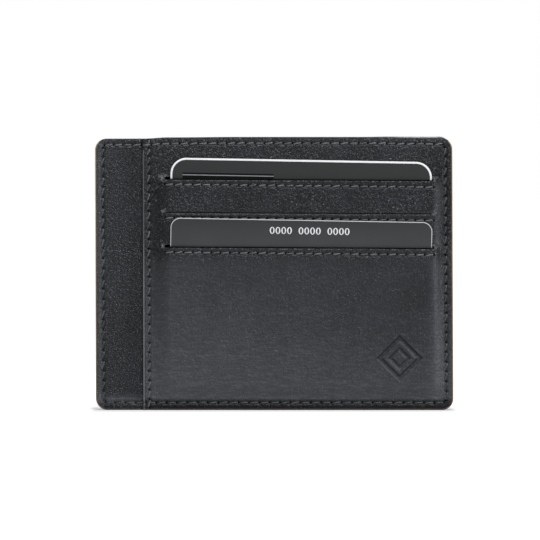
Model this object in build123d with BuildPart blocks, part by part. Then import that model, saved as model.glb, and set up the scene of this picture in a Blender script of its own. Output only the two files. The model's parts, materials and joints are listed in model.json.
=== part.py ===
"""A flat leather card holder with three card slots in front and a note pocket behind them.

The holder stands on its bottom edge. X runs along the width, -Y is the front and Z is up, in
millimetres. The origin is the middle of the bottom edge, halfway through the thickness.

Depths are measured forward from the front face of the inner panel, the sheet that the front
panel is sewn onto: the front panel and the cards lie at depths above zero, the note pocket and
the back panel below zero.
"""

from build123d import *
import os
from math import cos, radians, sin, tan

os.makedirs("parts", exist_ok=True)

# ---------------------------------------------------------------- driving dimensions
width = 117.0
height = 89.5
corner_radius = 3.4
strip_width = 15.5  # of the inner panel, left bare beside the front panel

leather = 0.8  # front and inner panels
back_leather = 1.0
lining = 0.2
ply = 0.1  # one wall of a fabric card pocket
clearance = 0.03  # between neighbouring sheets
card_play = 0.05  # between a card and the leather lip behind it
note_gap = 0.5  # room for folded notes

seam_inset = 2.4  # from the outline to the middle of the perimeter stitching
seam_land = 3.0  # flat border that the perimeter stitching runs on
side_seam_inset = 2.0  # from the front panel's left edge to its own stitching
side_seam_land = 2.6

slot_heights = (75.7, 64.8, 53.5)  # the three card slots, above the bottom edge
slot_left = -36.1
slot_right = 52.6
slot_gap = 0.4  # between the two lips of a slot
slot_seam_drop = 2.2  # from a slot down to its stitching
top_swell = 0.2  # the upper lip of the top slot stands off the inner panel by this
pocket_tab = 3.0  # a pocket's rear wall reaches this far above its slot

card_width = 85.6
card_height = 53.98
card_thickness = 0.5
card_radius = 3.18
card_center = 9.0
card_turn = 1.0  # degrees, the cards sit a little crooked in their slots
upper_exposed = 6.3  # how far the upper card stands out of its slot
upper_lean = 1.0  # degrees, its top edge leans forward
lower_exposed = 8.85
lower_lean = 3.0

stitch_length = 2.4
stitch_pitch = 3.2
slot_stitch_pitch = 3.05
stitch_slant = 8.0  # degrees
thread = 0.45  # thread width
groove_width = 1.0  # the channel that the stitches sink into
groove_depth = 0.25

emblem_x = 40.9  # a plain lozenge pressed into the leather
emblem_z = 16.9
emblem_size = 14.0
emblem_line = 1.2
emblem_depth = 0.25

# ---------------------------------------------------------------- layers, back to front
left, right = -width / 2, width / 2
front_left = left + strip_width
upper_slot, middle_slot, lower_slot = slot_heights
lip = slot_gap / 2


def upper_card_rear(z):
    """Depth of the upper card's rear face: it passes just in front of the top lip."""
    return top_swell + leather + card_play + (z - upper_slot) * tan(radians(upper_lean))


def next_ply(depth):
    """Rear face of the sheet that lies in front of one wall of fabric."""
    return depth + ply + clearance


def upper_front_wall(z):
    return upper_card_rear(z) + card_thickness + clearance


def middle_rear_wall(z):
    return next_ply(upper_front_wall(z))


def middle_front_wall(z):
    return next_ply(middle_rear_wall(z))


def lower_rear_wall(z):
    return next_ply(middle_front_wall(z))


band_a_rear = next_ply(upper_front_wall(upper_slot))  # leather between the top two slots
band_b_rear = next_ply(middle_front_wall(middle_slot))  # leather between the lower two slots


def lower_card_rear(z):
    """Depth of the lower card's rear face: it passes just in front of the lower leather band."""
    return band_b_rear + leather + card_play + (z - lower_slot) * tan(radians(lower_lean))


def lower_front_wall(z):
    return lower_card_rear(z) + card_thickness + clearance


def apron_rear(z):
    """Depth of the large leather field below the lowest slot."""
    return next_ply(lower_front_wall(z))


front_stack = apron_rear(lower_slot - lip) + leather
note_room = 2 * lining + note_gap
back_stack = leather + note_room + back_leather
inner_front = front_stack - (front_stack + back_stack) / 2  # Y of depth zero


def y_at(depth):
    return inner_front - depth


def facing(depth):
    """A plane parallel to the sheets that looks out of the front, at a depth."""
    return Plane.XZ.offset(depth - inner_front)


def leaning(x, z, depth, lean, turn=0):
    """A forward-looking plane whose top leans forward by `lean` degrees, turned clockwise by `turn`."""
    a, b = radians(lean), radians(turn)
    return Plane(
        origin=(x, y_at(depth), z),
        x_dir=(cos(b), sin(b) * sin(a), -sin(b) * cos(a)),
        z_dir=(0, -cos(a), -sin(a)),
    )


def sheet(rear, thickness):
    """The (y, z) outline of a sheet whose rear face runs through (depth, z) points."""
    back = [(y_at(depth), z) for depth, z in rear]
    front = [(y_at(depth + thickness), z) for depth, z in reversed(rear)]
    return back + front


def panel_outline():
    """The holder's outline, in the sketch that is open."""
    with Locations((0, height / 2)):
        RectangleRounded(width, height, corner_radius)


def seam_frame():
    """The groove that the perimeter stitching sinks into, in the sketch that is open."""
    outer, inner = seam_inset - groove_width / 2, seam_inset + groove_width / 2
    with Locations((0, height / 2)):
        Rectangle(width - 2 * outer, height - 2 * outer)
        Rectangle(width - 2 * inner, height - 2 * inner, mode=Mode.SUBTRACT)


def stitch_row(start, end, turn=0, pitch=stitch_pitch):
    """One straight row of slanted stitches between two points of the sketch that is open."""
    along = Vector(*end) - Vector(*start)
    count = int(along.length // pitch)
    step = along.normalized() * pitch
    first = (Vector(*start) + Vector(*end)) / 2 - step * ((count - 1) / 2)
    with Locations(*[first + step * i for i in range(count)]):
        SlotOverall(stitch_length, thread, rotation=turn + stitch_slant)


# ---------------------------------------------------------------- inner panel
# The sheet that everything in front is sewn onto; its bare left strip shows beside the front panel.
with BuildPart() as inner_panel:
    with BuildSketch(facing(-leather)):
        panel_outline()
    extrude(amount=leather)
    with BuildSketch(facing(-groove_depth)):
        seam_frame()
        with Locations((left, height / 2)):
            Rectangle(2 * strip_width - 1, height, mode=Mode.INTERSECT)
    extrude(amount=groove_depth, mode=Mode.SUBTRACT)

# ---------------------------------------------------------------- front panel
# One sheet with three slots. It lies flat along its seams and swells over the pockets and cards.
top_shoulder = height - seam_land - 1.5
apron_foot = 7.0  # where the large field starts down to the bottom seam
bottom_shoulder = 4.0
side_shoulder = front_left + side_seam_land
right_shoulder = right - seam_land
border_trace = 0.02  # the borders keep this share of the swelling beside them

top_band = [(top_swell, upper_slot + lip), (0, top_shoulder), (0, height)]
band_a = [(band_a_rear, middle_slot + lip), (band_a_rear, upper_slot - lip)]
band_b = [(band_b_rear, lower_slot + lip), (band_b_rear, middle_slot - lip)]
apron = [
    (0, 0),
    (0, bottom_shoulder),
    (apron_rear(apron_foot), apron_foot),
    (apron_rear(lower_slot - lip), lower_slot - lip),
]
swollen = apron + band_b + band_a + top_band
border_line = [(border_trace * depth, z) for depth, z in swollen]

emblem_plane = leaning(emblem_x, emblem_z, apron_rear(emblem_z) + leather, lower_lean)


def slot_seam(slot, depth, lean=0):
    """The plane of the stitching below a slot, on the leather that starts at its lower lip."""
    z = slot_heights[slot] - slot_seam_drop
    return leaning((slot_left + slot_right) / 2, z, depth + leather, lean)


slot_seams = (
    slot_seam(0, band_a_rear),
    slot_seam(1, band_b_rear),
    slot_seam(2, apron_rear(lower_slot - slot_seam_drop), lower_lean),
)
slot_length = slot_right - slot_left

with BuildPart() as front_panel:
    # the flat borders beside the swelling
    for start, end in ((front_left, side_shoulder), (right_shoulder, right)):
        with BuildSketch(Plane.YZ.offset(start)):
            Polygon(*sheet(border_line, leather), align=None)
        extrude(amount=end - start)
    # the slopes that rise from the borders to the ends of the slots
    for border, slot_end in ((side_shoulder, slot_left), (right_shoulder, slot_right)):
        with BuildSketch(Plane.YZ.offset(border)):
            Polygon(*sheet(border_line, leather), align=None)
        with BuildSketch(Plane.YZ.offset(slot_end)):
            Polygon(*sheet(swollen, leather), align=None)
        loft(ruled=True)
    # the four bands of leather that the slots part
    for band in (apron, band_b, band_a, top_band):
        with BuildSketch(Plane.YZ.offset(slot_left)):
            Polygon(*sheet(band, leather), align=None)
        extrude(amount=slot_length)
    # the holder's rounded outline
    with BuildSketch(facing(-1)):
        panel_outline()
    extrude(amount=front_stack + 2, mode=Mode.INTERSECT)
    # the stitching grooves
    with BuildSketch(facing(leather - groove_depth)):
        seam_frame()
        with Locations((front_left + side_seam_inset, height / 2)):
            Rectangle(groove_width, height - 2 * seam_inset)
    extrude(amount=front_stack, mode=Mode.SUBTRACT)
    with BuildSketch(*[seam.offset(-groove_depth) for seam in slot_seams]):
        Rectangle(slot_length - 1, groove_width)
    extrude(amount=1, mode=Mode.SUBTRACT)
    # the pressed lozenge
    with BuildSketch(emblem_plane.offset(-emblem_depth)):
        Rectangle(emblem_size / 2**0.5, emblem_size / 2**0.5, rotation=45)
        offset(amount=-emblem_line, mode=Mode.SUBTRACT)
    extrude(amount=1, mode=Mode.SUBTRACT)

# ---------------------------------------------------------------- back panel
# Sewn flat to the inner panel at both sides and along the bottom; in between it stands off by
# the depth of the note pocket, whose mouth is at the top.
seam_plane = -leather - back_leather  # depth of the back panel's outer face along its seam
room_top = height + 1  # the note pocket runs out through the top edge


def room_section(inset):
    """The note pocket's outline, this far inside the holder's, in the sketch that is open."""
    with Locations((0, (inset + room_top) / 2)):
        Rectangle(width - 2 * inset, room_top - inset)


with BuildPart() as back_panel:
    with BuildSketch(facing(seam_plane)):
        panel_outline()
    extrude(amount=back_leather)
    for depth, inset in ((seam_plane, seam_land), (seam_plane - note_room, seam_land + note_room)):
        with BuildSketch(facing(depth)):
            room_section(inset)
    loft(ruled=True)
    for depth, inset in ((-leather, seam_land + 0.6), (-leather - note_room, seam_land + note_room + 0.6)):
        with BuildSketch(facing(depth)):
            room_section(inset)
    loft(ruled=True, mode=Mode.SUBTRACT)
    with BuildSketch(facing(-back_stack)):
        panel_outline()
    extrude(amount=back_stack, mode=Mode.INTERSECT)
    with BuildSketch(facing(seam_plane)):
        seam_frame()
    extrude(amount=groove_depth, mode=Mode.SUBTRACT)
    with BuildSketch(facing(-back_stack)):
        with Locations((0, height - seam_inset)):
            Rectangle(width - 2 * seam_inset, groove_width)
    extrude(amount=groove_depth, mode=Mode.SUBTRACT)

# ---------------------------------------------------------------- linings of the note pocket
lining_side = seam_land + note_room + 0.7


def lining_outline():
    with Locations((0, (lining_side + height) / 2)):
        Rectangle(width - 2 * lining_side, height - lining_side)


with BuildPart() as inner_lining:
    with BuildSketch(facing(-leather - lining)):
        lining_outline()
    extrude(amount=lining - clearance)

with BuildPart() as back_lining:
    with BuildSketch(facing(-leather - note_room + clearance)):
        lining_outline()
    extrude(amount=lining - clearance)

# ---------------------------------------------------------------- card pockets
# Flat fabric bags behind the slots, each open at its own slot. The middle one is empty and lies
# flat between the other two; below the upper bag's floor the sheets run in towards the inner panel.
pocket_floor = 0.3
pocket_side = 0.2
upper_floor_z = 26.9
middle_floor_z = 16.8
lower_floor_z = 7.0
middle_floor_depth = 0.2

# (depth, z) of the rear face of each bag's rear wall and front wall, from the floor up
pocket_walls = {
    "upper_pocket": (
        [(clearance, upper_floor_z), (clearance, upper_slot + pocket_tab)],
        [(upper_front_wall(z), z) for z in (upper_floor_z, upper_slot - lip)],
    ),
    "middle_pocket": (
        [(middle_floor_depth, middle_floor_z)]
        + [(middle_rear_wall(z), z) for z in (upper_floor_z, middle_slot + pocket_tab)],
        [(next_ply(middle_floor_depth), middle_floor_z)]
        + [(middle_front_wall(z), z) for z in (upper_floor_z, middle_slot - lip)],
    ),
    "lower_pocket": (
        [(clearance, lower_floor_z), (next_ply(next_ply(middle_floor_depth)), middle_floor_z)]
        + [(lower_rear_wall(z), z) for z in (upper_floor_z, lower_slot + pocket_tab)],
        [(lower_front_wall(z), z) for z in (lower_floor_z, lower_slot - lip)],
    ),
}


def bag_floor(rear, front):
    """The closed bottom of a bag, from its rear wall to its front wall."""
    y_back, y_front = y_at(rear[0][0]), y_at(front[0][0] + ply)
    low = rear[0][1]
    high = low + pocket_floor
    return [(y_back, low), (y_front, low), (y_front, high), (y_back, high)]


def bag_side(rear, front):
    """A whole bag seen from its side, up to its mouth, where its rear wall runs on upwards."""
    mouth = front[-1][1]
    (low_depth, low), (high_depth, high) = rear[-2:]
    mouth_depth = low_depth + (high_depth - low_depth) * (mouth - low) / (high - low)
    back = [(y_at(depth), z) for depth, z in rear[:-1] + [(mouth_depth, mouth)]]
    return back + [(y_at(depth + ply), z) for depth, z in reversed(front)]


pockets = {}
for name, (rear, front) in pocket_walls.items():
    with BuildPart() as pocket:
        with BuildSketch(Plane.YZ.offset(slot_left)):
            Polygon(*sheet(rear, ply), align=None)
            Polygon(*sheet(front, ply), align=None)
            Polygon(*bag_floor(rear, front), align=None)
        extrude(amount=slot_length)
        for side in (slot_left, slot_right - pocket_side):
            with BuildSketch(Plane.YZ.offset(side)):
                Polygon(*bag_side(rear, front), align=None)
            extrude(amount=pocket_side)
    pockets[name] = pocket

# ---------------------------------------------------------------- cards
card_places = {
    "upper_card": (upper_slot, upper_card_rear(upper_slot), upper_lean, upper_exposed),
    "lower_card": (lower_slot, lower_card_rear(lower_slot), lower_lean, lower_exposed),
}
cards = {}
for name, (slot_z, depth, lean, exposed) in card_places.items():
    with BuildPart() as card:
        with BuildSketch(leaning(card_center, slot_z, depth, lean, card_turn)):
            with Locations((0, exposed - card_height / 2)):
                RectangleRounded(card_width, card_height, card_radius)
        extrude(amount=card_thickness)
    cards[name] = card

# ---------------------------------------------------------------- threads
# Each row is a line of separate stitches that lie in the groove of their sheet.
stitch_lift = 0.01  # off the groove's floor
stitch_height = groove_depth - stitch_lift
seam_left, seam_right = left + seam_inset, right - seam_inset
seam_bottom, seam_top = seam_inset, height - seam_inset
side_seam_x = front_left + side_seam_inset
corner_gap = 1.2  # from the corner of the seam to its first stitch

with BuildPart() as front_perimeter_thread:
    with BuildSketch(facing(-groove_depth + stitch_lift)):
        stitch_row((seam_left, seam_bottom + corner_gap), (seam_left, seam_top - corner_gap), turn=90)
        for z in (seam_bottom, seam_top):
            stitch_row((seam_left + corner_gap, z), (front_left - 0.2, z))
    extrude(amount=stitch_height)
    with BuildSketch(facing(leather - groove_depth + stitch_lift)):
        stitch_row((seam_right, seam_bottom + corner_gap), (seam_right, seam_top - corner_gap), turn=90)
        for z in (seam_bottom, seam_top):
            stitch_row((side_seam_x + 0.6, z), (seam_right - corner_gap, z))
    extrude(amount=stitch_height)

with BuildPart() as side_seam_thread:
    with BuildSketch(facing(leather - groove_depth + stitch_lift)):
        foot, top = (side_seam_x, seam_bottom + 0.8), (side_seam_x, seam_top - 0.8)
        stitch_row(foot, top, turn=90, pitch=slot_stitch_pitch)
    extrude(amount=stitch_height)

with BuildPart() as back_perimeter_thread:
    with BuildSketch(facing(seam_plane + stitch_lift)):
        for x in (seam_left, seam_right):
            stitch_row((x, seam_bottom + corner_gap), (x, seam_top - corner_gap), turn=90)
        stitch_row((seam_left + corner_gap, seam_bottom), (seam_right - corner_gap, seam_bottom))
    extrude(amount=stitch_height)
    with BuildSketch(facing(-back_stack + stitch_lift)):
        stitch_row((seam_left + seam_land, seam_top), (seam_right - seam_land, seam_top))
    extrude(amount=stitch_height)

slot_threads = {}
row_half = slot_length / 2 - 0.6
for name, seam in zip(("upper_slot_thread", "middle_slot_thread", "lower_slot_thread"), slot_seams):
    with BuildPart() as slot_thread:
        with BuildSketch(seam.offset(stitch_lift - groove_depth)):
            stitch_row((-row_half, 0), (row_half, 0), pitch=slot_stitch_pitch)
        extrude(amount=stitch_height)
    slot_threads[name] = slot_thread

# ---------------------------------------------------------------- hand-out
panels = {"front_panel": front_panel, "inner_panel": inner_panel, "back_panel": back_panel}
linings = {"inner_lining": inner_lining, "back_lining": back_lining}
seam_threads = {
    "front_perimeter_thread": front_perimeter_thread,
    "side_seam_thread": side_seam_thread,
    "back_perimeter_thread": back_perimeter_thread,
}
for name, piece in (panels | linings | pockets | cards | seam_threads | slot_threads).items():
    piece.part.label = name
    export_step(piece.part, f"parts/{name}.step")
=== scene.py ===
import json
import math

import bpy
import numpy as np
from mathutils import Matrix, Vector
from mathutils.bvhtree import BVHTree


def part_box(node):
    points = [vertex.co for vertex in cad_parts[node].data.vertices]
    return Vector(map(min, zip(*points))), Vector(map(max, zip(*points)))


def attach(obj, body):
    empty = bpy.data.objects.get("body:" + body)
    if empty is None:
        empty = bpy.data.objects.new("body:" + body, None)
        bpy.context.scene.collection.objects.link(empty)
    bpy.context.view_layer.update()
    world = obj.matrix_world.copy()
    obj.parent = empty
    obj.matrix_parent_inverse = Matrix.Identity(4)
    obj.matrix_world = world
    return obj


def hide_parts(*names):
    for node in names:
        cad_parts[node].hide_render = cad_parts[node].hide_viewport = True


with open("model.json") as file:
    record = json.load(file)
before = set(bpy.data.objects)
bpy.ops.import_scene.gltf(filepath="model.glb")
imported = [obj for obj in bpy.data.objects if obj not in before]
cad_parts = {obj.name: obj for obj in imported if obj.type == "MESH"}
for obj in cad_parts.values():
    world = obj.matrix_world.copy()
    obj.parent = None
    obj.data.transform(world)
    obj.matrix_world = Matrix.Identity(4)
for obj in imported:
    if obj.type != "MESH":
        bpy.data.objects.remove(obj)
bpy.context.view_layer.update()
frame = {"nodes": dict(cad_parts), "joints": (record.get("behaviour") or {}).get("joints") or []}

# A black leather card holder, stood on its bottom edge. Every visible sheet, thread and card is built
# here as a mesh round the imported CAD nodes. Lengths are in millimetres until mesh_object() turns them
# into metres. A "depth" is measured forward, towards -Y, from the front face of the inner panel.
# u runs along the width (X) and v up the height (Z).

MM = 0.001


def box_mm(node):
    low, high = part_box(node)
    return np.array(low) / MM, np.array(high) / MM


# ------------------------------------------------------------------ sizes read from the frame
panel_low, panel_high = box_mm("inner_panel")
LEFT, RIGHT, HEIGHT = panel_low[0], panel_high[0], panel_high[2]
FACE_Y = panel_low[1]
LEATHER = panel_high[1] - panel_low[1]
BACK_Y = box_mm("back_panel")[1][1]
FRONT_LEFT = box_mm("front_panel")[0][0]
(SLOT_LEFT, *_), (SLOT_RIGHT, *_) = box_mm("upper_pocket")
SLOT_MID = (SLOT_LEFT + SLOT_RIGHT) / 2
CORNER = 3.8  # radius of the outline's corners

SEAM_INSET = 2.4
SIDE_SEAM_U = FRONT_LEFT + 2.0
SLOT_SEAM_DROP = 2.2  # from a slot down to the seam below it
SLOT_NAMES = ("lower", "middle", "upper")
SLOTS = [sum(box_mm(name + "_slot_thread"))[2] / 2 + SLOT_SEAM_DROP for name in SLOT_NAMES]


def cad_tree(node):
    mesh = frame["nodes"][node].data
    return BVHTree.FromPolygons([v.co for v in mesh.vertices], [p.vertices[:] for p in mesh.polygons])


front_tree = cad_tree("front_panel")


def cad_depth(u, v):
    """Depth of the CAD front panel's outer face at a place."""
    hit = front_tree.ray_cast(Vector((u * MM, -1, v * MM)), Vector((0, 1, 0)))[0]
    return FACE_Y - hit.y / MM


# depths of the rear faces of the front panel's bands, between the slots
PROBE = 0.6  # how far from a slot a depth is read
TOP_SWELL = cad_depth(SLOT_MID, SLOTS[2] + PROBE) - LEATHER
BAND_A = cad_depth(SLOT_MID, (SLOTS[1] + SLOTS[2]) / 2) - LEATHER
BAND_B = cad_depth(SLOT_MID, (SLOTS[0] + SLOTS[1]) / 2) - LEATHER
APRON_HIGH = cad_depth(SLOT_MID, SLOTS[0] - PROBE) - LEATHER
APRON_LOW_V = 12.0
APRON_LOW = cad_depth(SLOT_MID, APRON_LOW_V) - LEATHER
APRON_SLOPE = (APRON_HIGH - APRON_LOW) / (SLOTS[0] - PROBE - APRON_LOW_V)


# ------------------------------------------------------------------ small maths
def smooth(t):
    t = np.clip(t, 0.0, 1.0)
    return t * t * t * (t * (6 * t - 15) + 10)


def ease(t):
    t = np.clip(t, 0.0, 1.0)
    return t * t * (3 - 2 * t)


def bell(t):
    return np.exp(-t * t)


def mix(a, b, t):
    return a + (b - a) * t


def rounding(distance, radius):
    """How far a rounded edge falls back at a distance in from it."""
    d = np.clip(distance, 0.0, radius)
    return radius - np.sqrt(np.maximum(radius * radius - (radius - d) ** 2, 0.0))


def waves(u, v, size, seed, count=14):
    """Smooth random undulation of about unit height and a given wavelength."""
    draw = np.random.default_rng(seed)
    total = np.zeros_like(u, dtype=float)
    for _ in range(count):
        angle, phase = draw.uniform(0, 2 * math.pi, 2)
        length = size * draw.uniform(0.6, 1.8)
        total += np.sin((u * math.cos(angle) + v * math.sin(angle)) * 2 * math.pi / length + phase)
    return total / math.sqrt(count)


def onto_round(u, v, low, high, corner):
    """Moves a square-cornered grid's points onto the rectangle from low to high with round corners."""
    cu = np.clip(u, low[0] + corner, high[0] - corner)
    cv = np.clip(v, low[1] + corner, high[1] - corner)
    du, dv = u - cu, v - cv
    scale = np.maximum(np.abs(du), np.abs(dv)) / np.maximum(np.hypot(du, dv), 1e-9)
    return cu + du * scale, cv + dv * scale


def graded(stops):
    """Grid lines from (place, spacing that follows) stops: even within each stretch."""
    lines = [np.array([stops[0][0]])]
    for (start, spacing), (end, _) in zip(stops, stops[1:]):
        count = max(1, round((end - start) / spacing))
        lines.append(np.linspace(start, end, count + 1)[1:])
    return np.concatenate(lines)


# ------------------------------------------------------------------ stitched rows
ROW_START = 0.55  # from the corner of the seam to its first needle hole
ROW_FADE = 0.5  # how softly a row ends
SINK, SINK_WIDTH = 0.12, 0.62  # the valley that a seam pulls into the leather
VALLEY_WIDTH = 0.75  # of the dark along it
HOLE, HOLE_WIDTH, HOLE_SHARPNESS = 0.55, 0.40, 9  # the extra dip at each needle hole
PUFF, PUFF_OFFSET, PUFF_WIDTH = 0.05, 0.9, 0.5  # the leather swells beside the middle of each stitch
BEAD, BEAD_WIDTH = 0.06, 0.7  # the soft swelling between a seam and the edge
RIM_WIDTH = 0.26  # of the bare edge that shows round the outline


class Row:
    """A straight row of stitches from needle hole to needle hole, with a share from 0 to 1 of painted
    highlight on its thread; slant is how many degrees each stitch turns off the row."""

    def __init__(self, start, end, pitch, thread_highlight, slant=8):
        self.thread_highlight = thread_highlight
        self.slant = math.radians(slant)
        self.start = np.array(start, float)
        run = np.array(end, float) - self.start
        self.length = float(np.linalg.norm(run))
        self.along = run / self.length
        self.across = np.array([-self.along[1], self.along[0]])
        self.count = round(self.length / pitch)
        self.pitch = self.length / self.count

    def places(self, u, v):
        """(turn from hole to hole, distance across, fade past the ends) of points."""
        du, dv = u - self.start[0], v - self.start[1]
        along = du * self.along[0] + dv * self.along[1]
        across = du * self.across[0] + dv * self.across[1]
        past = np.maximum(0.0, np.maximum(-along, along - self.length))
        return 2 * math.pi * along / self.pitch, across, bell(past / ROW_FADE)

    def holes(self, u, v):
        """1 at the needle holes, 0 away from them."""
        turn, across, fade = self.places(u, v)
        return bell(across / HOLE_WIDTH) * (0.5 + 0.5 * np.cos(turn)) ** HOLE_SHARPNESS * fade

    def valley(self, u, v):
        """1 along the seam, 0 away from it."""
        _, across, fade = self.places(u, v)
        return bell(across / VALLEY_WIDTH) * fade

    def relief(self, u, v, holes=True):
        """What the row does to the leather's depth: a valley, deeper at each hole."""
        turn, across, fade = self.places(u, v)
        sunk = -SINK * bell(across / SINK_WIDTH)
        if holes:
            sunk -= HOLE * self.holes(u, v)
            sunk += PUFF * bell((np.abs(across) - PUFF_OFFSET) / PUFF_WIDTH) * (0.5 - 0.5 * np.cos(turn))
        return sunk * fade


near, far = SEAM_INSET + ROW_START, SEAM_INSET
top_seam_v = HEIGHT - far + 0.32  # the top seam runs a little closer to the edge than the others
perimeter_rows = {
    "bottom": Row((LEFT + near, far), (RIGHT - near, far), 3.4, 0.2),
    "top": Row((LEFT + near, top_seam_v), (RIGHT - near, top_seam_v), 3.12, 1.0),
    "left": Row((LEFT + far, near), (LEFT + far, HEIGHT - near), 3.35, 0.5, -20),
    "right": Row((RIGHT - far, near), (RIGHT - far, HEIGHT - near), 3.2, 0.4, -20),
}
outline_rows = list(perimeter_rows.values())
side_row = Row((SIDE_SEAM_U, 0.5), (SIDE_SEAM_U, HEIGHT - 0.05), 3.05, 0.7, -22)
# one stitch over the top edge, just left of the front panel
knot_u = FRONT_LEFT - 0.9
knot_row = Row((knot_u, HEIGHT - 1.3), (knot_u, HEIGHT + 0.2), 1.5, 1.0)
slot_rows, tacks = [], []
SLOT_ROW_INSET, SLOT_ROW_TILT, TACK = 0.4, 0.2, 1.24
for slot in SLOTS:
    seam_v = slot - SLOT_SEAM_DROP
    start = (SLOT_LEFT + SLOT_ROW_INSET, seam_v + SLOT_ROW_TILT)
    slot_rows.append(Row(start, (SLOT_RIGHT - SLOT_ROW_INSET, seam_v - SLOT_ROW_TILT), 3.05, 0.9))
    # an upright stitch keeps each end of a slot from tearing
    tacks.append([
        Row((end, slot - TACK / 2), (end, slot + TACK / 2), TACK, 1.0) for end in (SLOT_LEFT, SLOT_RIGHT)
    ])


def border_distance(u, v):
    """Distance to the nearest of the sides and the foot, which are sewn through."""
    return np.minimum(np.minimum(u - LEFT, RIGHT - u), v)


def edge_distance(u, v):
    return np.minimum(border_distance(u, v), HEIGHT - v)


def perimeter_relief(u, v, holes=True):
    """The seam that runs round the outline, with its bead."""
    sides = {"left": u - LEFT, "right": RIGHT - u, "bottom": v, "top": HEIGHT - v}
    nearest = edge_distance(u, v)
    total = BEAD * bell((nearest - SEAM_INSET / 2) / BEAD_WIDTH)
    for name, row in perimeter_rows.items():
        total += np.where(sides[name] <= nearest + 1e-6, row.relief(u, v, holes), 0.0)
    return total


STRIP_DROOP, LEFT_DROOP, RIGHT_DROOP = 0.40, 0.14, 0.24
DROOP_REACH = 12  # how far down the sheet the droop of its top edge is felt
FOOT_SPREAD = (0.2, 0.5)  # how far the foot spreads to the right, at its left and right ends


def droop(u, v):
    """How far the top edge droops: most over the strip, and a little at both ends."""
    left_end = LEFT_DROOP * smooth((-10 - u) / 25) + STRIP_DROOP * smooth((FRONT_LEFT + 9 - u) / 9)
    felt = smooth((v - HEIGHT + DROOP_REACH) / DROOP_REACH)
    return (left_end + RIGHT_DROOP * smooth((u - 34) / 12)) * felt


def round_corners(u, v):
    """Moves a square-cornered sheet's points onto the holder's outline, which isn't trimmed quite
    square: the foot spreads to the right, and the top edge droops."""
    x, z = onto_round(u, v, (LEFT, 0), (RIGHT, HEIGHT), CORNER)
    spread = mix(*FOOT_SPREAD, (u - LEFT) / (RIGHT - LEFT)) * (1 - v / HEIGHT)
    return x + spread, z - droop(u, v)


def handled(u, v):
    """1 on the large field below the lowest slot, whose grain has been rubbed flat."""
    return smooth((u - FRONT_LEFT - 0.4) / 0.8) * smooth((SLOTS[0] - 1 - v) / 6)


def polish_and_sheen(u, v):
    """Painted sheen where handling has smoothed the grain: the large field below the lowest slot, most of
    all near its foot, with painted highlights on the swelling along the front's right side and beside
    the slots' right ends."""
    field = handled(u, v) * mix(0.9, 1.0, smooth((RIGHT - 2.3 - u) / 0.6)) * smooth((v - 2.8) / 1.4)
    height = np.clip(v / SLOTS[0], 0, 1)
    right_side = mix(0.75, 0.1, np.clip(1.5 * height, 0, 1))
    fading = mix(1.0, 0.2, height) * mix(1.0, right_side, np.clip((u - SLOT_LEFT) / 88, 0, 1))
    swelling = 0.55 * bell((u - RIGHT + 5.2) / 2.2)
    beside_slots = smooth((v - SLOTS[0] + 3) / 6) * smooth((SLOTS[2] + 1 - v) / 5)
    beside_slots = beside_slots * bell((u - RIGHT + 5.1) / 1.1)
    return np.clip(field * (fading + swelling) + 0.6 * beside_slots, 0, 1)


def strip_polish_and_sheen(u, v, band):
    """The strip on the left is rubbed along its border and above its lower seam, with painted sheen there.
    """
    return np.clip(0.6 * bell((u - LEFT - 1.3) / 0.9) + 0.75 * bell((v - 3.5) / 1.2), 0, 1)


def shade(u, v, band):
    """Where shade is painted into the leather: the border below the lower seam, mostly on the front
    panel, and a little between the slots, along the upper right side and on the strip beside the panel."""
    on_front = smooth((u - FRONT_LEFT) / 0.4)
    border = smooth((2.7 - v) / 1.8) * smooth((v - 0.3) / 0.3) * mix(0.3, 0.5, on_front)
    upper = smooth((v - SLOTS[0]) / 4) * smooth((HEIGHT - v) / 8) * on_front
    strip = 0.2 * smooth((u - LEFT - 5) / 10) * (1 - on_front)
    return np.maximum(np.maximum(border, strip), upper * mix(0.16, 0.3, smooth((u - 50) / 2)))


# ------------------------------------------------------------------ meshes
def mesh_object(name, vertices, quads, materials, body, slot, replaced=(), face_slots=None, attributes=None,
                soft=True):
    mesh = bpy.data.meshes.new(name)
    mesh.vertices.add(len(vertices))
    mesh.vertices.foreach_set("co", (np.asarray(vertices) * MM).astype(np.float32).ravel())
    mesh.loops.add(quads.size)
    mesh.loops.foreach_set("vertex_index", quads.astype(np.int32).ravel())
    mesh.polygons.add(len(quads))
    mesh.polygons.foreach_set("loop_start", np.arange(0, quads.size, quads.shape[1], dtype=np.int32))
    for material in materials:
        mesh.materials.append(material)
    if face_slots is not None:
        mesh.polygons.foreach_set("material_index", face_slots.astype(np.int32))
    for key, values in (attributes or {}).items():
        mesh.attributes.new(key, "FLOAT", "POINT").data.foreach_set("value", values.astype(np.float32))
    mesh.update(calc_edges=True)
    mesh.polygons.foreach_set("use_smooth", np.full(len(quads), soft))
    mesh.validate()
    made = bpy.data.objects.new(name, mesh)
    bpy.context.scene.collection.objects.link(made)
    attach(made, body)
    for node in replaced:
        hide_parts(node)


def free_edges(quads, total):
    """Directed edges that only one face uses."""
    a = quads.ravel()
    b = np.roll(quads, -1, axis=1).ravel()
    forward, backward = a * total + b, b * total + a
    keep = ~np.isin(forward, backward)
    return a[keep], b[keep]


def grid_faces(grid):
    return np.stack([grid[:-1, :-1], grid[:-1, 1:], grid[1:, 1:], grid[1:, :-1]], -1).reshape(-1, 4)


def ring_faces(rings, count, closed=False):
    """Faces between rings of points; closed if the last ring joins the first."""
    index = np.arange(rings * count).reshape(rings, count)
    return grid_faces(np.pad(index, ((0, int(closed)), (0, 1)), mode="wrap"))


def copies(points, faces):
    """Vertices and faces of shapes that differ only in where their points are."""
    shifted = [faces + i * len(points[0]) for i in range(len(points))]
    return np.concatenate(points), np.concatenate(shifted)


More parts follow.
